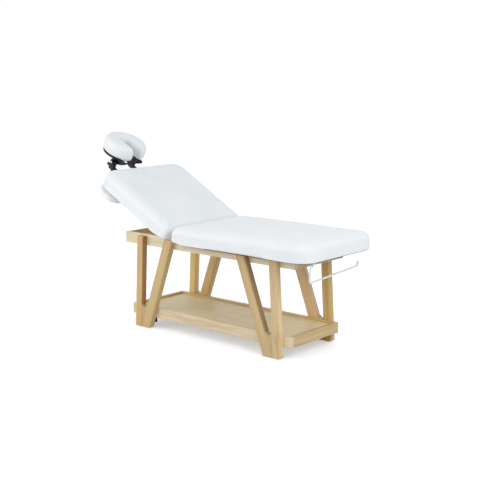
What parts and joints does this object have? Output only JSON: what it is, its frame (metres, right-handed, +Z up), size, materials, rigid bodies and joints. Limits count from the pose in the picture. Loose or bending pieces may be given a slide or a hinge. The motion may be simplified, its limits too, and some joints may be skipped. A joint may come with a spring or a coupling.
{
  "type": "massage table",
  "caption": "Wooden treatment table with a padded leg section, a lifting padded backrest with face hole plug, a tilting face cradle, an arm shelf, a lower shelf and a paper roll rod.",
  "frame": {"origin": "on the floor, under the middle of the overall length and width, with the backrest raised as pictured", "axes": "+X along the table to the foot end, +Z up, so -Y is the long side nearer to the viewer"},
  "size_m": [2.0008, 0.718, 1.2481],
  "materials": {
    "beech": "clear satin lacquer over light solid wood",
    "tray_wood": "satin lacquered panel, a little greyer than the frame",
    "plywood": "plain plywood",
    "upholstery": "smooth cool-white artificial leather over foam",
    "black_steel": "matte black powder coat",
    "black_plastic": "moulded matte black",
    "white_plastic": "moulded matte white",
    "white_steel": "white painted round rod",
    "zinc": "bright zinc plate"
  },
  "bodies": {
    "table": {"side_rail_near": "beech", "side_rail_far": "beech", "head_rail": "beech", "foot_rail": "beech", "hinge_rail": "beech", "middle_rail": "beech", "post_head_near": "beech", "strut_head_near": "beech", "post_head_far": "beech", "strut_head_far": "beech", "post_foot_near": "beech", "strut_foot_near": "beech", "post_foot_far": "beech", "strut_foot_far": "beech", "leg_webs": "beech", "foot_glides": "white_plastic", "shelf_rail_near": "beech", "shelf_rail_far": "beech", "shelf_rail_head": "beech", "shelf_rail_foot": "beech", "shelf_panel": "tray_wood", "shelf_cleats": "plywood", "shelf_brackets": "black_steel", "frame_bolts": "zinc", "leg_board": "plywood", "leg_cushion": "upholstery", "hinge_leaves_fixed": "zinc", "hinge_pins": "zinc", "stay_washers": "zinc", "roll_bracket": "white_plastic"},
    "backrest": {"hinge_leaves_moving": "zinc", "back_board": "plywood", "back_cushion": "upholstery", "stay_near": "zinc", "stay_far": "zinc", "cradle_block": "beech", "arm_runner_near": "zinc", "arm_runner_far": "zinc"},
    "face_plug": {"face_plug_base": "plywood", "face_plug_cushion": "upholstery"},
    "knob_near": {"stay_knob_near": "black_plastic"},
    "knob_far": {"stay_knob_far": "black_plastic"},
    "cradle_posts": {"cradle_post_near": "black_steel", "cradle_post_far": "black_steel", "cradle_axle": "zinc"},
    "cradle_head": {"cradle_arm_near": "black_steel", "cradle_arm_far": "black_steel", "cradle_crossbar": "black_steel", "cradle_platform": "black_plastic", "cradle_cushion": "upholstery"},
    "cradle_lever": {"cradle_lever": "black_plastic"},
    "arm_shelf": {"arm_slider_near": "zinc", "arm_slider_far": "zinc", "arm_board": "plywood", "arm_pad": "upholstery"},
    "roll_rod": {"roll_rod": "white_steel"}
  },
  "joints": [
    {"name": "backrest_hinge", "type": "hinge", "parent": "table", "child": "backrest", "pos_m": [-0.12991, 0, 0.6133], "axis": [0, 1, 0], "range_deg": [-29, 3]},
    {"name": "face_plug_lift", "type": "slide", "parent": "backrest", "child": "face_plug", "axis": [0.4848, 0, 0.8746], "range_m": [0, 0.12]},
    {"name": "knob_near_turn", "type": "hinge", "parent": "table", "child": "knob_near", "pos_m": [-0.27663, -0.2, 0.58211], "axis": [0, 1, 0], "range_deg": [0, 270]},
    {"name": "knob_far_turn", "type": "hinge", "parent": "table", "child": "knob_far", "pos_m": [-0.27663, 0.2, 0.58211], "axis": [0, -1, 0], "range_deg": [0, 270]},
    {"name": "cradle_slide", "type": "slide", "parent": "backrest", "child": "cradle_posts", "axis": [-0.8746, 0, 0.4848], "range_m": [-0.02, 0.1]},
    {"name": "cradle_tilt", "type": "hinge", "parent": "cradle_posts", "child": "cradle_head", "pos_m": [-0.87376, 0, 1.05763], "axis": [0, 1, 0], "range_deg": [-35, 30]},
    {"name": "cradle_lever_turn", "type": "hinge", "parent": "cradle_posts", "child": "cradle_lever", "pos_m": [-0.87376, -0.1, 1.05763], "axis": [0, 1, 0], "range_deg": [0, 75]},
    {"name": "arm_shelf_slide", "type": "slide", "parent": "backrest", "child": "arm_shelf", "axis": [-0.8746, 0, 0.4848], "range_m": [0, 0.1]},
    {"name": "roll_rod_swivel", "type": "hinge", "parent": "table", "child": "roll_rod", "pos_m": [0.96509, -0.246, 0.6], "axis": [0, 0, 1], "range_deg": [-75, 14]}
  ]
}
